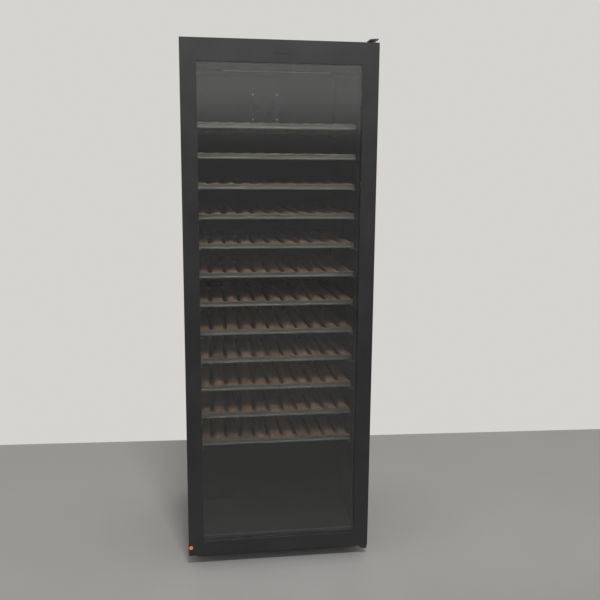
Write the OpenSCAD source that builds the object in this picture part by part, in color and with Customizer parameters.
// Tall free-standing wine cabinet with a glazed door, twelve slatted shelves and a rear
// machine compartment. X is the width, Y runs from the door to the back, Z is up.
// The origin lies on the floor under the middle of the cabinet.

/* [Cabinet] */
// Width of the cabinet and of its door
cabinet_w = 680; // [567:1:816]
// Height of the body's top above the floor
cabinet_h = 1900; // [1583:1:2280]
// Depth from the badge's front face to the condenser's rear face
cabinet_d = 700; // [584:1:840]
// Height of the body's underside above the floor
plinth_h = 44; // [38:1:53]
// Thickness of the side walls and the back
wall_t = 42; // [36:1:50]
// Thickness of the ceiling and the floor
ceiling_t = 50; // [42:1:60]
// Thickness of the steel panels
sheet_t = 1.2; // [1:0.1:1.5]
// Thickness of the plastic liner
liner_t = 2; // [1.6:0.1:2.4]
// Depth behind the body that the condenser takes up
condenser_d = 34; // [28:1:41]

/* [Machine compartment] */
// Depth of the step at the back of the cold space
step_d = 250; // [225:1:300]
// Height of the step above the cold space's floor
step_h = 236; // [225:1:280]

/* [Door] */
// Thickness of the door
door_t = 50; // [45:1:58]
// Width of the door's stiles and of its bottom rail
stile_w = 56; // [52:1:66]
// Height of the door's top rail
top_rail_h = 75; // [63:1:90]
// Thickness of the door's painted skin
skin_t = 2; // [1.6:0.1:2.4]
// Thickness of each glass pane
pane_t = 4; // [3:0.5:5]
// Gap between the two panes
pane_gap = 12; // [10:1:14]
// How far the panes reach in behind the frame
pane_cover = 10; // [9:1:12]
// Depth of the gasket when the door is shut
gasket_t = 10; // [8:0.5:12]
// Width of the gasket
gasket_w = 13; // [11:0.5:14]
// Distance from the door's side to the hinge axis
hinge_inset = 18; // [16:1:20]
// Distance from the door's front face to the hinge axis
hinge_depth = 22; // [20:1:24]
// Radius of the hinge pins
pin_r = 5; // [4:0.5:6]

/* [Shelves] */
// Clear height between the control box and the top shelf's underside
top_bay_h = 196; // [163:1:235]
// Height of the lowest shelf above the cold space's floor
bottom_bay_h = 333; // [300:1:380]
// Gap between a shelf and each side wall
shelf_side_gap = 7; // [6:0.5:8]
// Depth of a shelf from front to back
shelf_d = 470; // [392:1:480]
// Distance from the body's front to the shelves' front edges
shelf_setback = 70; // [64:1:76]
// Height of a shelf's front trim
trim_h = 19; // [16:0.5:22]
// Thickness of a shelf's front trim
trim_t = 8; // [7:0.5:10]
// Gap between neighbouring slats
slat_gap = 14; // [12:0.5:16.5]
// Height of a slat's straight sides
slat_side_h = 8; // [7:0.5:9.5]
// Height of a slat's rounded crown above its sides
crown_h = 7; // [6:0.5:8]

/* [Controls and fan] */
// Height of the control box under the ceiling
control_h = 42; // [35:1:50]
// Depth of the control box
control_d = 110; // [92:1:132]
// Radius of the push buttons
button_r = 6; // [5:0.5:7]
// Travel of the push buttons
button_travel = 1.2; // [1:0.1:1.4]
// Radius of the fan's rotor
fan_r = 42; // [36:1:48]

/* [Hidden] */
$fn = 48;
e = 0.01;
shelf_count = 12;
slat_count = 11;
fit = 0.2;

// Levels along Y and Z
badge_t = 1;
gasket_gap = 0.3;
y_min = -cabinet_d / 2;
y_front = y_min + badge_t;
y_door_back = y_front + door_t;
y_body = y_door_back + gasket_t + gasket_gap;
y_rear = cabinet_d / 2 - condenser_d;
z_door0 = plinth_h + 1;
z_door1 = cabinet_h - 1;
half_w = cabinet_w / 2;
inner_x = half_w - sheet_t;

// Cold space
in_x = half_w - wall_t;
in_w = 2 * in_x;
in_y1 = y_rear - wall_t;
in_z0 = plinth_h + ceiling_t;
in_z1 = cabinet_h - ceiling_t;
step_y = in_y1 - step_d;
step_z = in_z0 + step_h;
machine_y = step_y + wall_t;
machine_z = step_z - wall_t;
foam_x = in_x + liner_t;
machine_x = foam_x - sheet_t;
evaporator_t = 1.6;

// Door
open_x = half_w - stile_w;
open_z0 = z_door0 + stile_w;
open_z1 = z_door1 - top_rail_h;
y_glass = y_front + skin_t;
y_inner_pane = y_glass + pane_t + pane_gap;
y_unit_back = y_inner_pane + pane_t;
skin_d = 30;
y_skin_back = y_front + skin_d;
flange_t = 3;
y_core_back = y_skin_back - flange_t;
pane_x = open_x + pane_cover;
pane_z0 = open_z0 - pane_cover;
pane_z1 = open_z1 + pane_cover;
spacer_w = 8;
spacer_in = 1;
finger_d = 12;
core_x = half_w - skin_t;
gasket_x0 = in_x + 2;
gasket_z0 = in_z0 - 2;
gasket_z1 = in_z1 + 2;
gasket_lip_w = 5;
gasket_lip_t = 3;

// Hinges
hinge_x = half_w - hinge_inset;
hinge_y = y_front + hinge_depth;
pin_clear = 0.05;
pin_l = 22;
bush_r = pin_r + 4;
bush_l = 24;
bracket_t = 4;
bracket_x0 = hinge_x - 54;
bracket_x1 = half_w - 2;
bracket_y0 = hinge_y - 13;
bracket_y1 = y_body + 58;
joggle_h = 9;
joggle_y0 = y_body + 20;
joggle_y1 = y_body + 7;
arm_x0 = hinge_x - 11;
arm_nose = 8;
arm_slant = 11;
block_h = 17;
block_d = 26;
block_w = 20;
block_slant = 15;
plug_h = 6;

// Shelves
shelf_w = in_w - 2 * shelf_side_gap;
slat_w = (shelf_w - (slat_count - 1) * slat_gap) / slat_count;
slat_pitch = slat_w + slat_gap;
crown_r = (slat_w * slat_w / 4 + crown_h * crown_h) / (2 * crown_h);
slat_drop = 3.5;
batten_h = trim_h - slat_side_h - slat_drop;
batten_d = 34;
batten_inset = 24;
y_shelf = y_body + shelf_setback;
y_slats = y_shelf + trim_t;
y_shelf_back = y_shelf + shelf_d;
shelf_low_z = in_z0 + bottom_bay_h;
shelf_top_z = in_z1 - control_h - top_bay_h;
shelf_pitch = (shelf_top_z - shelf_low_z) / (shelf_count - 1);
groove_h = 10;
groove_d = 1;
runner_w = shelf_side_gap + 14;
runner_h = 7;
runner_y0 = y_body + 24;
runner_y1 = in_y1 - 6;

// Base
foot_x = half_w - 46;
foot_y = y_body + 46;
foot_y_rear = y_rear - 46;
foot_r = 18;
foot_pad_h = 12;
foot_stem_r = 5;
kick_x = half_w - 28;
kick_y = y_body + 4;
kick_t = 1.5;
kick_z = 6;
kick_flange = 20;
kick_gap = 1;

// Control box
control_x = in_x - 6;
control_y = y_body + 34;
control_z = in_z1 - control_h;
control_mid_z = control_z + control_h / 2;
display_w = 74;
display_h = 22;
display_t = 1.5;
button_l = 8;
button_out = 3;
button_x = display_w / 2 + 24;
button_pitch = 24;
button_bore = 12;
lens_w = 380;
lens_d = 16;
lens_h = 5;

// Fan
fan_z = shelf_top_z + (control_z - shelf_top_z) / 2 + 10;
fan_box = fan_r * 2 + 34;
fan_box_d = 36;
fan_wall = 3;
fan_hub_r = 17;
fan_shaft_r = 2;
fan_blades = 7;
fan_blade_t = 2;
fan_blade_d = 15;
fan_tilt = 32;
fan_mouth_r = fan_r + 4;
guard_pitch = fan_mouth_r / 3;
guard_w = 2.4;
guard_in = 0.4;
fan_motor_r = 14;
fan_y = in_y1 - fan_box_d;
rotor_y = fan_y + 9;
rotor_d = 12;

// Refrigeration
tube_r = 2.4;
wire_r = 0.8;
run_count = 12;
run_x = half_w - 90;
run_z0 = machine_z + 120;
run_z1 = cabinet_h - 190;
run_pitch = (run_z1 - run_z0) / (run_count - 1);
wire_count = 16;
wire_gap = 0.1;
tube_y = cabinet_d / 2 - 2 * wire_r - wire_gap - tube_r;
post_w = 14;
pot_r = 74;
pot_h = 150;
pot_x = 110;
pot_y = (machine_y + y_rear) / 2;
pot_foot_h = 12;
plate_t = 3;
plate_half = 88;
grommet_r = 13;
grommet_at = plate_half - 17;
pan_z = plinth_h + sheet_t;
plate_z = pan_z + pot_foot_h;
dryer_r = 11;
dryer_l = 90;
line_r = 3.2;
line_x = -half_w + 120;
line_y = machine_y + 60;
inlet_x = -150;
inlet_w = 52;
inlet_h = 34;
inlet_d = 36;
inlet_z = pan_z + 18;

function shelf_z(i) = shelf_top_z - (i - 1) * shelf_pitch;
function two(n) = n < 10 ? str("0", n) : str(n);
function slat_x(k) = -shelf_w / 2 + slat_w / 2 + k * slat_pitch;
function run_z(k) = run_z0 + k * run_pitch;

// ---- helpers ----

// Box between two opposite corners
module box(a, b) {
    translate(a) cube([b[0] - a[0], b[1] - a[1], b[2] - a[2]]);
}

// Frame in the XZ plane with the outer half width x1 and an opening of half width x0
module frame_ring(x1, za1, zb1, x0, za0, zb0, y0, y1) {
    difference() {
        box([-x1, y0, za1], [x1, y1, zb1]);
        box([-x0, y0 - e, za0], [x0, y1 + e, zb0]);
    }
}

// The children and their mirror image across the middle plane
module both_sides() {
    children();
    mirror([1, 0, 0]) children();
}

// Round bar along +Y from the point p
module rod_y(p, r, l) {
    translate(p) rotate([-90, 0, 0]) cylinder(r = r, h = l);
}

// Round bar along +X from the point p
module rod_x(p, r, l) {
    translate(p) rotate([0, 90, 0]) cylinder(r = r, h = l);
}

// Outline in the YZ plane, given as a child, drawn along X from x0 to x1
module along_x(x0, x1) {
    translate([x0, 0, 0]) rotate([90, 0, 90]) linear_extrude(height = x1 - x0) children();
}

// Outline in the XZ plane, given as a child, drawn along Y from y0 to y1
module along_y(y0, y1) {
    translate([0, y1, 0]) rotate([90, 0, 0]) linear_extrude(height = y1 - y0) children();
}

// ---- body ----

// Painted sides and top
module outer_panels() color("#202021") {
    both_sides()
        box([inner_x, y_body, plinth_h], [half_w, y_rear, cabinet_h - sheet_t - fit]);
    box([-half_w, y_body, cabinet_h - sheet_t], [half_w, y_rear, cabinet_h]);
}

// Back sheet, folded in round the machine compartment to line its walls and ceiling
module rear_panel() color("#8f9191") {
    box([-inner_x, y_rear - sheet_t, machine_z], [inner_x, y_rear, cabinet_h - sheet_t]);
    difference() {
        union() {
            both_sides() {
                box([machine_x, y_rear - sheet_t, pan_z], [inner_x, y_rear, machine_z + e]);
                box([machine_x, machine_y, pan_z], [foam_x, y_rear, machine_z]);
            }
            box([-foam_x, machine_y, machine_z - sheet_t], [foam_x, y_rear, machine_z]);
            box([-foam_x, machine_y, pan_z], [foam_x, machine_y + sheet_t, machine_z]);
        }
        for (x = [-foot_x, foot_x])
            translate([x, foot_y_rear, pan_z - e]) cylinder(r = foot_stem_r + fit, h = ceiling_t);
    }
}

// Bottom sheet that carries the feet and the compressor
module base_pan() color("#3a3a3b") {
    difference() {
        box([-inner_x, y_body + sheet_t, plinth_h], [inner_x, y_rear, pan_z]);
        for (x = [-foot_x, foot_x], y = [foot_y, foot_y_rear])
            translate([x, y, plinth_h - e])
                cylinder(r = foot_stem_r + fit, h = sheet_t + 2 * e);
    }
}

// Steel frame round the mouth of the cold space, which the gasket closes on
module front_flange() color("#202021") {
    both_sides()
        box([in_x, y_body, in_z0 + fit], [inner_x, y_body + sheet_t, in_z1 - fit]);
    box([-inner_x, y_body, in_z1], [inner_x, y_body + sheet_t, cabinet_h - sheet_t]);
    box([-inner_x, y_body, plinth_h], [inner_x, y_body + sheet_t, in_z0]);
}

// Rigid foam in the walls: two sides, top, floor, step and back
module insulation_foam() color("#d8c99a") {
    y0 = y_body + sheet_t;
    y1 = y_rear - sheet_t;
    mid_x = foam_x - fit;
    top_z = cabinet_h - sheet_t;
    both_sides()
        difference() {
            box([foam_x, y0, pan_z], [inner_x, y1, top_z]);
            for (y = [foot_y, foot_y_rear])
                translate([foot_x, y, pan_z - e]) cylinder(r = foot_stem_r + fit, h = ceiling_t);
        }
    box([-mid_x, y0, in_z1 + liner_t], [mid_x, y1, top_z]);
    difference() {
        box([-mid_x, y0, pan_z], [mid_x, machine_y, in_z0 - liner_t]);
        for (x = [-foot_x, foot_x])
            translate([x, foot_y, pan_z - e]) cylinder(r = foot_stem_r + fit, h = ceiling_t);
    }
    box([-mid_x, step_y + liner_t, in_z0 - liner_t + fit], [mid_x, machine_y, machine_z - fit]);
    box([-mid_x, step_y + liner_t, machine_z], [mid_x, y1, step_z - liner_t]);
    box([-mid_x, in_y1 + liner_t + evaporator_t, step_z - liner_t + fit],
        [mid_x, y1, in_z1 + liner_t - fit]);
}

// Side outline of the cold space, grown by g behind, above and below
module cold_outline(g, y0) {
    polygon([[y0, in_z0 - g], [step_y + g, in_z0 - g], [step_y + g, step_z - g],
             [in_y1 + g, step_z - g], [in_y1 + g, in_z1 + g], [y0, in_z1 + g]]);
}

// One-piece plastic lining of the cold space
module liner() color("#151516") {
    difference() {
        along_x(-foam_x, foam_x) cold_outline(liner_t, y_body + sheet_t);
        along_x(-in_x, in_x) cold_outline(0, y_body);
    }
}

// Cold plate between the lining and the back foam
module evaporator() color("#b9bcbd") {
    box([-in_x + 60, in_y1 + liner_t, step_z + 90],
        [in_x - 60, in_y1 + liner_t + evaporator_t - fit / 2, in_z1 - 120]);
}

// Ledges on the side walls that carry the shelves
module shelf_runners() color("#19191a") {
    both_sides()
        for (i = [1 : shelf_count])
            box([in_x - runner_w, runner_y0, shelf_z(i) - runner_h - fit],
                [in_x, runner_y1, shelf_z(i) - fit]);
}

// Front plinth strip, notched over the bottom hinge bracket
module kick_plate() color("#2b2b2c") {
    difference() {
        union() {
            box([-kick_x, kick_y, kick_z], [kick_x, kick_y + kick_t, plinth_h]);
            box([-kick_x, kick_y, plinth_h - kick_t], [kick_x, kick_y + kick_flange, plinth_h]);
        }
        box([bracket_x0 - kick_gap, kick_y - e, plinth_h - bracket_t - kick_gap],
            [half_w, kick_y + kick_flange + e, plinth_h + e]);
    }
}

// Four screw feet with round pads
module levelling_feet() color("#121213") {
    for (x = [-foot_x, foot_x], y = [foot_y, foot_y_rear])
        translate([x, y, 0]) {
            cylinder(r1 = foot_r, r2 = foot_r - 3, h = foot_pad_h);
            translate([0, 0, foot_pad_h - e])
                cylinder(r = foot_stem_r, h = plinth_h + 16 - foot_pad_h);
        }
}

// Top hinge plate: flat on the cabinet, with an arm that steps up over the door, and its pin
module top_hinge_bracket() color("#17171a") {
    difference() {
        union() {
            box([bracket_x0, joggle_y0 + bracket_t, cabinet_h],
                [bracket_x1, bracket_y1, cabinet_h + bracket_t]);
            along_x(arm_x0, bracket_x1)
                polygon([[bracket_y1, cabinet_h], [joggle_y0, cabinet_h],
                         [joggle_y1, cabinet_h + joggle_h], [bracket_y0, cabinet_h + joggle_h],
                         [bracket_y0, cabinet_h + joggle_h + bracket_t],
                         [joggle_y1 + bracket_t / 2, cabinet_h + joggle_h + bracket_t],
                         [joggle_y0 + bracket_t / 2, cabinet_h + bracket_t],
                         [bracket_y1, cabinet_h + bracket_t]]);
        }
        translate([0, 0, cabinet_h + joggle_h - 1])
            linear_extrude(bracket_t + 2)
                polygon([[arm_x0 - 1, bracket_y0 - 1], [bracket_x1 - arm_nose, bracket_y0 - 1],
                         [bracket_x1 - arm_nose, bracket_y0], [arm_x0, bracket_y0 + arm_slant],
                         [arm_x0 - 1, bracket_y0 + arm_slant]]);
    }
    translate([hinge_x, hinge_y, z_door1 - pin_l])
        cylinder(r = pin_r, h = pin_l + 1 + joggle_h + e);
}

// Bottom hinge plate with its pin and the block under the corner that carries it
module bottom_hinge_bracket() color("#17171a") {
    z0 = plinth_h - bracket_t;
    x1 = half_w - block_w;
    difference() {
        box([bracket_x0, bracket_y0, z0], [bracket_x1, bracket_y1, plinth_h]);
        translate([foot_x, foot_y, z0 - e])
            cylinder(r = foot_r + 2, h = bracket_t + 2 * e);
    }
    translate([hinge_x, hinge_y, plinth_h - e])
        cylinder(r = pin_r, h = z_door0 - plinth_h + pin_l + e);
    translate([0, bracket_y0 + block_d, 0])
        rotate([90, 0, 0])
            linear_extrude(block_d)
                polygon([[x1 - block_slant, z0 + e], [x1, z0 - block_h + bracket_t],
                         [half_w, z0 - block_h + bracket_t], [half_w, z0 + e]]);
}

// ---- controls, light and fan ----

// Housing under the ceiling with the display and the buttons in its face
module control_box() color("#161617") {
    difference() {
        box([-control_x, control_y, control_z], [control_x, control_y + control_d, in_z1]);
        box([-display_w / 2, control_y - e, control_mid_z - display_h / 2],
            [display_w / 2, control_y + display_t, control_mid_z + display_h / 2]);
        for (k = [0 : 2])
            rod_y([button_x + k * button_pitch, control_y - e, control_mid_z],
                  button_r + fit, button_bore);
        box([-lens_w / 2, control_y + 12, control_z - e],
            [lens_w / 2, control_y + 12 + lens_d, control_z + lens_h - 1]);
    }
}

// Dark display window
module control_display() color("#0d1012") {
    box([-display_w / 2 + fit, control_y, control_mid_z - display_h / 2 + fit],
        [display_w / 2 - fit, control_y + display_t, control_mid_z + display_h / 2 - fit]);
}

// Round push button number k
module push_button(k) {
    rod_y([button_x + k * button_pitch, control_y - button_out, control_mid_z],
          button_r, button_out + button_l);
}

// Power button
module power_button() color("#3c3d3f") push_button(0);

// Button that lowers the set temperature
module minus_button() color("#3c3d3f") push_button(1);

// Button that raises the set temperature
module plus_button() color("#3c3d3f") push_button(2);

// Frosted lens of the light strip
module led_lens() color("#e8e9ea") {
    box([-lens_w / 2 + fit, control_y + 12 + fit, control_z - 1],
        [lens_w / 2 - fit, control_y + 12 + lens_d - fit, control_z + lens_h - 1]);
}

// Fan housing on the back wall, with its round mouth, guard bars and motor
module fan_cover() color("#1b1b1c") {
    h = fan_box / 2;
    difference() {
        box([-h, fan_y, fan_z - h], [h, in_y1, fan_z + h]);
        box([-h + fan_wall, fan_y + fan_wall, fan_z - h + fan_wall],
            [h - fan_wall, in_y1 + e, fan_z + h - fan_wall]);
        rod_y([0, fan_y - e, fan_z], fan_mouth_r, fan_wall + 2 * e);
        for (s = [-1, 1], k = [0 : 3])
            box([s * h - fan_wall - e, fan_y + 12, fan_z - 40 + k * 22],
                [s * h + fan_wall + e, in_y1 - 8, fan_z - 26 + k * 22]);
    }
    for (k = [-2 : 2]) {
        z = fan_z + k * guard_pitch;
        w = sqrt(pow(fan_mouth_r + guard_w, 2) - pow(k * guard_pitch, 2));
        box([-w, fan_y + guard_in, z - guard_w / 2],
            [w, fan_y + fan_wall - guard_in, z + guard_w / 2]);
    }
    rod_y([0, rotor_y + rotor_d + 1, fan_z], fan_motor_r, in_y1 - rotor_y - rotor_d - 1);
    rod_y([0, rotor_y + 4, fan_z], fan_shaft_r, rotor_d - 2);
}

// Fan wheel with its hub and blades
module fan_rotor() color("#0f0f10") {
    difference() {
        union() {
            rod_y([0, rotor_y, fan_z], fan_hub_r, rotor_d);
            for (k = [0 : fan_blades - 1])
                translate([0, rotor_y + rotor_d / 2, fan_z]) rotate([0, k * 360 / fan_blades, 0])
                    translate([fan_hub_r - 2, 0, 0]) rotate([fan_tilt, 0, 0])
                        box([0, -fan_blade_t / 2, -fan_blade_d / 2],
                            [fan_r - fan_hub_r, fan_blade_t / 2, fan_blade_d / 2]);
        }
        rod_y([0, rotor_y + 3, fan_z], fan_shaft_r + pin_clear, rotor_d);
    }
}

// ---- refrigeration ----

// Sealed pot with its mounting plate, terminal box and stubs
module compressor() color("#141415") {
    translate([pot_x, pot_y, plate_z + plate_t - e]) {
        rotate_extrude() polygon([[0, 0], [pot_r - 12, 0], [pot_r - 2, 12], [pot_r - 2, 70],
                                  [pot_r, 72], [pot_r, 78], [pot_r - 2, 80],
                                  [pot_r - 2, pot_h - 44], [pot_r - 10, pot_h - 20],
                                  [pot_r - 30, pot_h - 5], [0, pot_h]]);
        box([-pot_r - 20, -28, 34], [-pot_r + 12, 28, 92]);
    }
    difference() {
        box([pot_x - plate_half, pot_y - plate_half, plate_z],
            [pot_x + plate_half, pot_y + plate_half, plate_z + plate_t]);
        for (x = [-grommet_at, grommet_at], y = [-grommet_at, grommet_at])
            translate([pot_x + x, pot_y + y, plate_z - e]) cylinder(r = 7, h = plate_t + 2 * e);
    }
}

// Four rubber mounts under the compressor's plate
module compressor_mounts() color("#0d0d0d") {
    for (x = [-grommet_at, grommet_at], y = [-grommet_at, grommet_at])
        translate([pot_x + x, pot_y + y, pan_z]) {
            cylinder(r = grommet_r, h = pot_foot_h);
            translate([0, 0, pot_foot_h - e]) cylinder(r = 7 - fit, h = plate_t + 6);
        }
}

// Bend between runs k and k + 1, on the side s
module run_bend(k, s) {
    translate([0, tube_y, run_z(k) + run_pitch / 2])
        mirror([s < 0 ? 1 : 0, 0, 0])
            translate([run_x + wire_gap, 0, 0])
                rotate([0, 0, -90]) rotate([0, -90, 0])
                    rotate_extrude(angle = 180, $fn = 32)
                        translate([run_pitch / 2, 0]) circle(r = tube_r, $fn = 16);
}

// Serpentine tube with its wires and its four standoffs
module condenser() color("#101011") {
    for (k = [0 : run_count - 1])
        rod_x([-run_x, tube_y, run_z(k)], tube_r, 2 * run_x, $fn = 16);
    for (k = [0 : run_count - 2])
        run_bend(k, k % 2 == 0 ? 1 : -1);
    for (k = [0 : wire_count - 1]) {
        x = -run_x + 20 + k * (2 * run_x - 40) / (wire_count - 1);
        translate([x, tube_y + tube_r + wire_r + wire_gap, run_z0 - 12])
            cylinder(r = wire_r, h = run_z1 - run_z0 + 24, $fn = 16);
    }
    for (x = [-run_x + 30, run_x - 30 - post_w], k = [1, run_count - 2])
        box([x, y_rear, run_z(k) - 5], [x + post_w, tube_y - tube_r - wire_gap, run_z(k) + 5]);
}

// Filter dryer and the pipes that stand in the machine compartment
module refrigerant_lines() color("#a8643c") {
    z0 = plate_z + 40;
    translate([line_x, line_y, z0]) cylinder(r = dryer_r, h = dryer_l);
    translate([line_x, line_y, z0 - 14]) cylinder(r = line_r, h = dryer_l + 28);
    translate([line_x + 30, line_y, pan_z]) cylinder(r = line_r, h = machine_z - sheet_t - pan_z);
    rod_x([line_x, line_y, z0 - 14], line_r, 30);
}

// Mains inlet in a small housing at the rear of the base
module mains_inlet() color("#111112") {
    difference() {
        union() {
            box([inlet_x, y_rear - inlet_d, inlet_z], [inlet_x + inlet_w, y_rear, inlet_z + inlet_h]);
            box([inlet_x, y_rear - inlet_d, pan_z], [inlet_x + inlet_w, y_rear - inlet_d + 3, inlet_z + e]);
        }
        box([inlet_x + 12, y_rear - 18, inlet_z + 7],
            [inlet_x + inlet_w - 12, y_rear + e, inlet_z + inlet_h - 7]);
    }
    for (k = [-1, 0, 1])
        box([inlet_x + inlet_w / 2 + k * 8 - 2, y_rear - 18 - e, inlet_z + inlet_h / 2 - 3],
            [inlet_x + inlet_w / 2 + k * 8 + 2, y_rear - 5, inlet_z + inlet_h / 2 + 3]);
}

// ---- door ----

// Holes for the hinge bushes and their spares at the four corners
module bush_holes(r) {
    for (x = [-hinge_x, hinge_x]) {
        translate([x, hinge_y, z_door0 - e]) cylinder(r = r, h = bush_l + e);
        translate([x, hinge_y, z_door1 - bush_l]) cylinder(r = r, h = bush_l + e);
    }
}

// Painted front frame with its folded edges
module door_skin() color("#2a2a2b") {
    difference() {
        box([-half_w, y_front, z_door0], [half_w, y_skin_back, z_door1]);
        box([-core_x, y_glass, z_door0 + skin_t], [core_x, y_skin_back + e, z_door1 - skin_t]);
        box([-open_x, y_front - e, open_z0], [open_x, y_skin_back, open_z1]);
        bush_holes(bush_r);
    }
}

// Foam-filled rails and stiles behind the skin
module door_core() color("#cfc49f") {
    z0 = z_door0 + skin_t;
    z1 = z_door1 - skin_t;
    difference() {
        both_sides() box([pane_x, y_glass, z0], [core_x, y_core_back, z1]);
        bush_holes(bush_r);
    }
    box([-pane_x + fit, y_glass, z0], [pane_x - fit, y_core_back, pane_z0]);
    box([-pane_x + fit, y_glass, pane_z1], [pane_x - fit, y_core_back, z1]);
}

// Plastic rear frame with the deep reveal, the finger groove on the opening side, and a flange
// that closes the skin's fold
module door_inner_frame() color("#121213") {
    z0 = z_door0;
    z1 = z_door1;
    difference() {
        union() {
            box([-half_w + finger_d, y_skin_back, z0], [half_w, y_door_back, z1]);
            box([-pane_x, y_unit_back, pane_z0], [pane_x, y_skin_back + e, pane_z1]);
            box([-core_x + fit, y_core_back, z0 + skin_t + fit],
                [core_x - fit, y_skin_back + e, z1 - skin_t - fit]);
        }
        box([-open_x, y_unit_back - e, open_z0], [open_x, y_door_back + e, open_z1]);
        for (x = [-hinge_x, hinge_x]) {
            translate([x, hinge_y, z_door0 - e]) cylinder(r = bush_r, h = bush_l + e);
            translate([x, hinge_y, z_door1 - bush_l]) cylinder(r = bush_r, h = bush_l + e);
        }
    }
}

// Front pane
module outer_glass() color("#3a3f42", 0.35) {
    box([-pane_x, y_glass, pane_z0], [pane_x, y_glass + pane_t, pane_z1]);
}

// Rear pane
module inner_glass() color("#3a3f42", 0.35) {
    box([-pane_x, y_inner_pane, pane_z0], [pane_x, y_unit_back, pane_z1]);
}

// Spacer bar between the panes
module glazing_spacer() color("#1e1e1f") {
    a = spacer_in;
    b = spacer_in + spacer_w;
    frame_ring(open_x + b, open_z0 - b, open_z1 + b, open_x + a, open_z0 - a, open_z1 + a,
               y_glass + pane_t, y_inner_pane);
}

// Magnetic gasket with a narrow lip at its base
module door_gasket() color("#0e0e0f") {
    w = gasket_w;
    i = (gasket_w - gasket_lip_w) / 2;
    o = i + gasket_lip_w;
    x0 = gasket_x0;
    z0 = gasket_z0;
    z1 = gasket_z1;
    frame_ring(x0 + w, z0 - w, z1 + w, x0, z0, z1, y_door_back + gasket_lip_t, y_door_back + gasket_t);
    frame_ring(x0 + o, z0 - o, z1 + o, x0 + i, z0 - i, z1 + i,
               y_door_back, y_door_back + gasket_lip_t + e);
}

// Plastic bushes in the top and bottom corners on the hinge side
module hinge_bushes() color("#8a8c8e") {
    l = bush_l;
    translate([hinge_x, hinge_y, z_door0 - 0.8])
        difference() {
            cylinder(r = bush_r, h = l + 0.8);
            translate([0, 0, -e]) cylinder(r = pin_r + pin_clear, h = l - 1);
        }
    translate([hinge_x, hinge_y, z_door1 - l])
        difference() {
            cylinder(r = bush_r, h = l);
            translate([0, 0, 1.2]) cylinder(r = pin_r + pin_clear, h = l);
        }
}

// Plugs in the spare hinge holes on the opening side
module hinge_plugs() color("#a9a9a6") {
    translate([-hinge_x, hinge_y, z_door0 - plug_h])
        difference() {
            cylinder(r = bush_r, h = plug_h + bush_l);
            translate([0, 0, -e]) cylinder(r = bush_r - 4, h = plug_h);
        }
    translate([-hinge_x, hinge_y, z_door1 - bush_l]) cylinder(r = bush_r, h = bush_l + 1);
}

// Plain plate in the middle of the top rail
module badge_plate() color("#161617") {
    z = z_door1 - 39;
    box([-26, y_min, z - 5], [26, y_front, z + 5]);
}

// Small round sticker near the bottom corner on the opening side
module dot_sticker() color("#e67832") {
    rod_y([-half_w + 8.5, y_front - 0.4, z_door0 + 32], 7.2, 0.4);
}

// ---- shelves ----

// Slat outline with its rounded crown, seen from the front
module slat_outline() {
    translate([-slat_w / 2, 0]) square([slat_w, slat_side_h]);
    intersection() {
        translate([0, slat_side_h + crown_h - crown_r]) circle(r = crown_r, $fn = 96);
        translate([-slat_w / 2, slat_side_h - e]) square([slat_w, crown_h + 2 * e]);
    }
}

// Eleven slats on two battens
module shelf_slats(i) {
    z = shelf_z(i);
    for (k = [0 : slat_count - 1])
        translate([slat_x(k), 0, z + batten_h])
            along_y(y_slats, y_shelf_back) slat_outline();
    for (y = [y_slats + batten_inset, y_shelf_back - batten_inset - batten_d])
        box([-shelf_w / 2, y, z], [shelf_w / 2, y + batten_d, z + batten_h]);
}

// Grooved metal strip along the front of a shelf
module shelf_trim(i) {
    z = shelf_z(i);
    m = trim_h / 2;
    g = groove_h / 2;
    along_x(-shelf_w / 2, shelf_w / 2)
        polygon([[y_shelf, z], [y_slats, z], [y_slats, z + trim_h], [y_shelf, z + trim_h],
                 [y_shelf, z + m + g], [y_shelf + groove_d, z + m + g - groove_d],
                 [y_shelf + groove_d, z + m - g + groove_d], [y_shelf, z + m - g]]);
}

outer_panels();
rear_panel();
base_pan();
front_flange();
insulation_foam();
liner();
evaporator();
shelf_runners();
kick_plate();
levelling_feet();
top_hinge_bracket();
bottom_hinge_bracket();
control_box();
control_display();
power_button();
minus_button();
plus_button();
led_lens();
fan_cover();
fan_rotor();
compressor();
compressor_mounts();
condenser();
refrigerant_lines();
mains_inlet();
door_skin();
door_core();
door_inner_frame();
outer_glass();
inner_glass();
glazing_spacer();
door_gasket();
hinge_bushes();
hinge_plugs();
badge_plate();
dot_sticker();
for (i = [1 : shelf_count]) {
    color("#7a4a34") shelf_slats(i);
    color("#6e6b62") shelf_trim(i);
}
